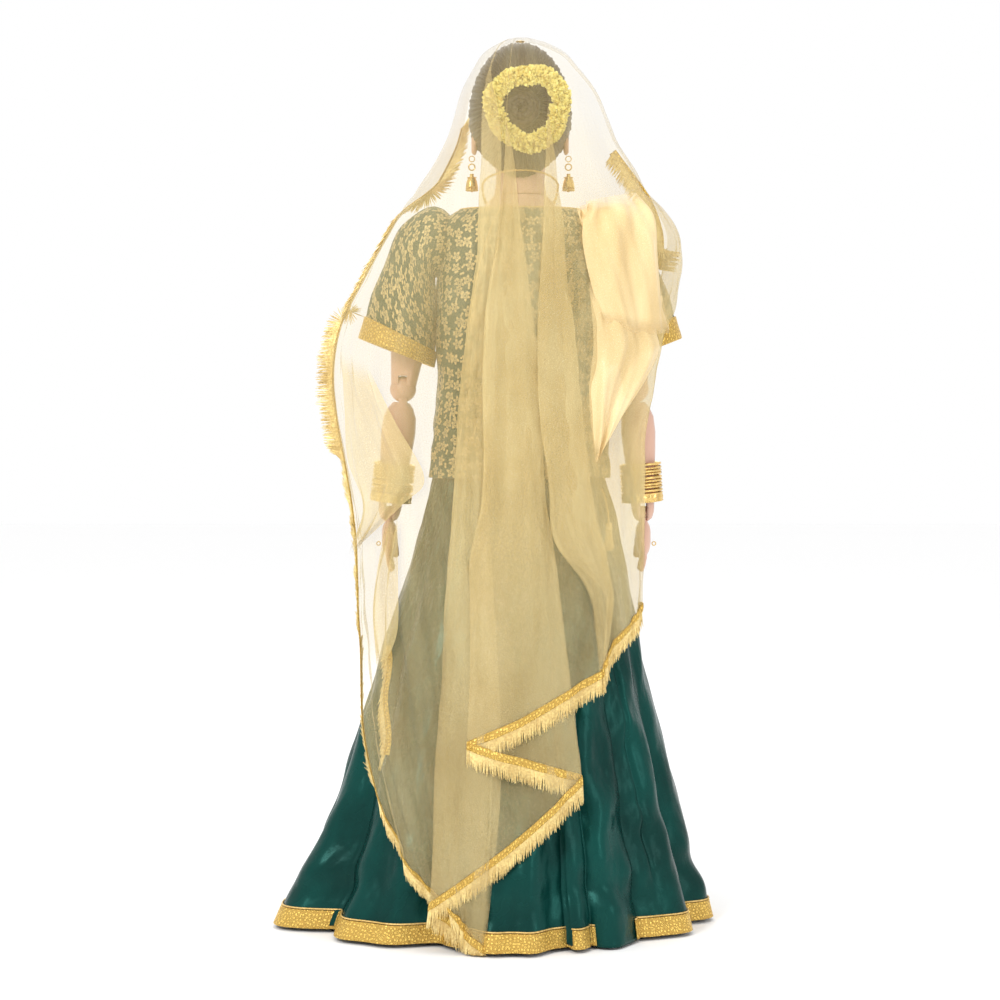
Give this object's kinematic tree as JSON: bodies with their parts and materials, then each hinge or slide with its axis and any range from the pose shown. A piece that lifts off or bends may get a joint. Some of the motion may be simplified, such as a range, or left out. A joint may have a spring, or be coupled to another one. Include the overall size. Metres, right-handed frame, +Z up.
{
  "type": "display puppet",
  "caption": "Life-size jointed wooden display puppet on a post, dressed in a brocade blouse, fluted satin skirt and a long net veil over hair with a flower ring.",
  "frame": {"origin": "centre of the base board's underside, on the floor", "axes": "+Z up, the figure faces -Y and its left is +X"},
  "size_m": [0.6299, 0.5381, 1.3023],
  "materials": {
    "wood": "oiled",
    "painted_wood": "painted satin",
    "steel": "zinc plated",
    "brass": "gilt",
    "calico": "plain weave",
    "hair": "combed fibre",
    "flowers": "cloth petals",
    "satin": "satin",
    "brocade": "brocade",
    "gold_lace": "metallic lace",
    "net": "sheer organza"
  },
  "bodies": {
    "figure": {"base_board": "wood", "post_flange": "steel", "flange_screw_1": "steel", "flange_screw_2": "steel", "flange_screw_3": "steel", "flange_screw_4": "steel", "post": "wood", "hip_block": "wood", "trunk_board": "wood", "chest_padding": "calico", "back_padding": "calico", "shoulder_yoke": "wood", "shoulder_rod": "steel", "bust_block": "painted_wood", "blouse": "brocade", "skirt": "satin", "skirt_border": "gold_lace", "waistband": "satin", "necklace_cord": "gold_lace", "necklace_beads": "brass", "back_tie_cord": "gold_lace", "back_tie_tassel": "gold_lace", "waist_tie_cord": "gold_lace", "waist_tie_tassel": "gold_lace", "veil_fall": "net", "veil_fringe": "gold_lace"},
    "head": {"head": "painted_wood", "neck_dowel": "wood", "hair": "hair", "hair_bun": "hair", "flower_ring": "flowers", "crown_ring": "brass", "ear_hook_left": "brass", "ear_hook_right": "brass", "veil_hood": "net", "hood_fringe_left": "gold_lace", "hood_fringe_right": "gold_lace"},
    "ear_drop_left": {"ear_drop_left": "brass"},
    "upper_arm_left": {"upper_arm_left": "painted_wood", "elbow_pin_left": "steel", "sleeve_left": "brocade", "sleeve_border_left": "gold_lace"},
    "forearm_left": {"forearm_left": "painted_wood", "wrist_pin_left": "steel"},
    "hand_left": {"hand_left": "painted_wood", "hand_eye_left": "brass"},
    "bangles_left": {"bangle_set_left": "brass", "broad_bangle_left": "brass"},
    "ear_drop_right": {"ear_drop_right": "brass"},
    "upper_arm_right": {"upper_arm_right": "painted_wood", "elbow_pin_right": "steel", "sleeve_right": "brocade", "sleeve_border_right": "gold_lace"},
    "forearm_right": {"forearm_right": "painted_wood", "wrist_pin_right": "steel"},
    "hand_right": {"hand_right": "painted_wood", "hand_eye_right": "brass"},
    "bangles_right": {"bangle_set_right": "brass", "broad_bangle_right": "brass"}
  },
  "joints": [
    {"name": "head_turn", "type": "hinge", "parent": "figure", "child": "head", "pos_m": [0, 0.01, 1.07], "axis": [0, 0, 1], "range_deg": [-30, 30]},
    {"name": "ear_drop_swing_left", "type": "hinge", "parent": "head", "child": "ear_drop_left", "pos_m": [0.0715, 0.005, 1.125], "axis": [1, 0, 0], "range_deg": [-25, 25]},
    {"name": "shoulder_left", "type": "hinge", "parent": "figure", "child": "upper_arm_left", "pos_m": [0.147, 0, 1.003], "axis": [-1, 0, 0], "range_deg": [0, 85]},
    {"name": "elbow_left", "type": "hinge", "parent": "upper_arm_left", "child": "forearm_left", "pos_m": [0.174, 0, 0.785], "axis": [-1, 0, 0], "range_deg": [0, 90]},
    {"name": "wrist_left", "type": "hinge", "parent": "forearm_left", "child": "hand_left", "pos_m": [0.195, -0.008, 0.6], "axis": [-1, 0, 0], "range_deg": [-20, 45]},
    {"name": "bangle_slide_left", "type": "slide", "parent": "forearm_left", "child": "bangles_left", "axis": [-0.1127, 0.0429, 0.9927], "range_m": [0, 0.025]},
    {"name": "ear_drop_swing_right", "type": "hinge", "parent": "head", "child": "ear_drop_right", "pos_m": [-0.0715, 0.005, 1.125], "axis": [1, 0, 0], "range_deg": [-25, 25]},
    {"name": "shoulder_right", "type": "hinge", "parent": "figure", "child": "upper_arm_right", "pos_m": [-0.147, 0, 1.003], "axis": [-1, 0, 0], "range_deg": [0, 85]},
    {"name": "elbow_right", "type": "hinge", "parent": "upper_arm_right", "child": "forearm_right", "pos_m": [-0.172, 0, 0.785], "axis": [-1, 0, 0], "range_deg": [0, 90]},
    {"name": "wrist_right", "type": "hinge", "parent": "forearm_right", "child": "hand_right", "pos_m": [-0.184, -0.008, 0.6], "axis": [-1, 0, 0], "range_deg": [-20, 45]},
    {"name": "bangle_slide_right", "type": "slide", "parent": "forearm_right", "child": "bangles_right", "axis": [0.0647, 0.0431, 0.997], "range_m": [0, 0.025]}
  ]
}
